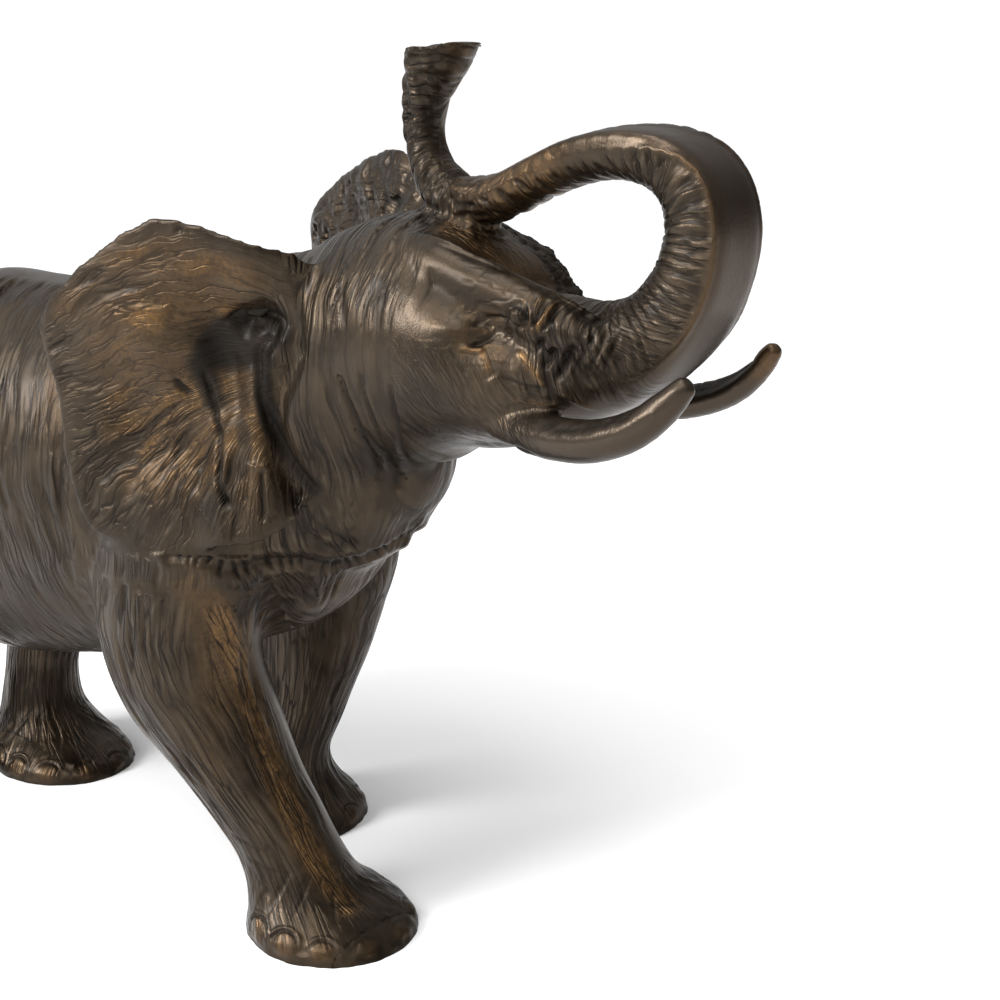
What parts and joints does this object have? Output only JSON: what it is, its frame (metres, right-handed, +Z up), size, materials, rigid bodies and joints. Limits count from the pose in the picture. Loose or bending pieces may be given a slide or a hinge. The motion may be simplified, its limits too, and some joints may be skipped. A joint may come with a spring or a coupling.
{
  "type": "elephant figurine",
  "caption": "Cast statue of an African elephant in mid stride, ears spread and the trunk curled up and back to touch the top of the head.",
  "frame": {"origin": "bottom centre of the figurine's box, on the plane of its soles", "axes": "+Z up, -Y the way the animal walks, +X its left side"},
  "size_m": [0.121, 0.388, 0.2814],
  "materials": {
    "bronze_patina": "cast bronze under a dark brown semi-gloss patina, rubbed to golden brown on the high places"
  },
  "bodies": {
    "root": {"elephant": "bronze_patina"}
  },
  "joints": []
}
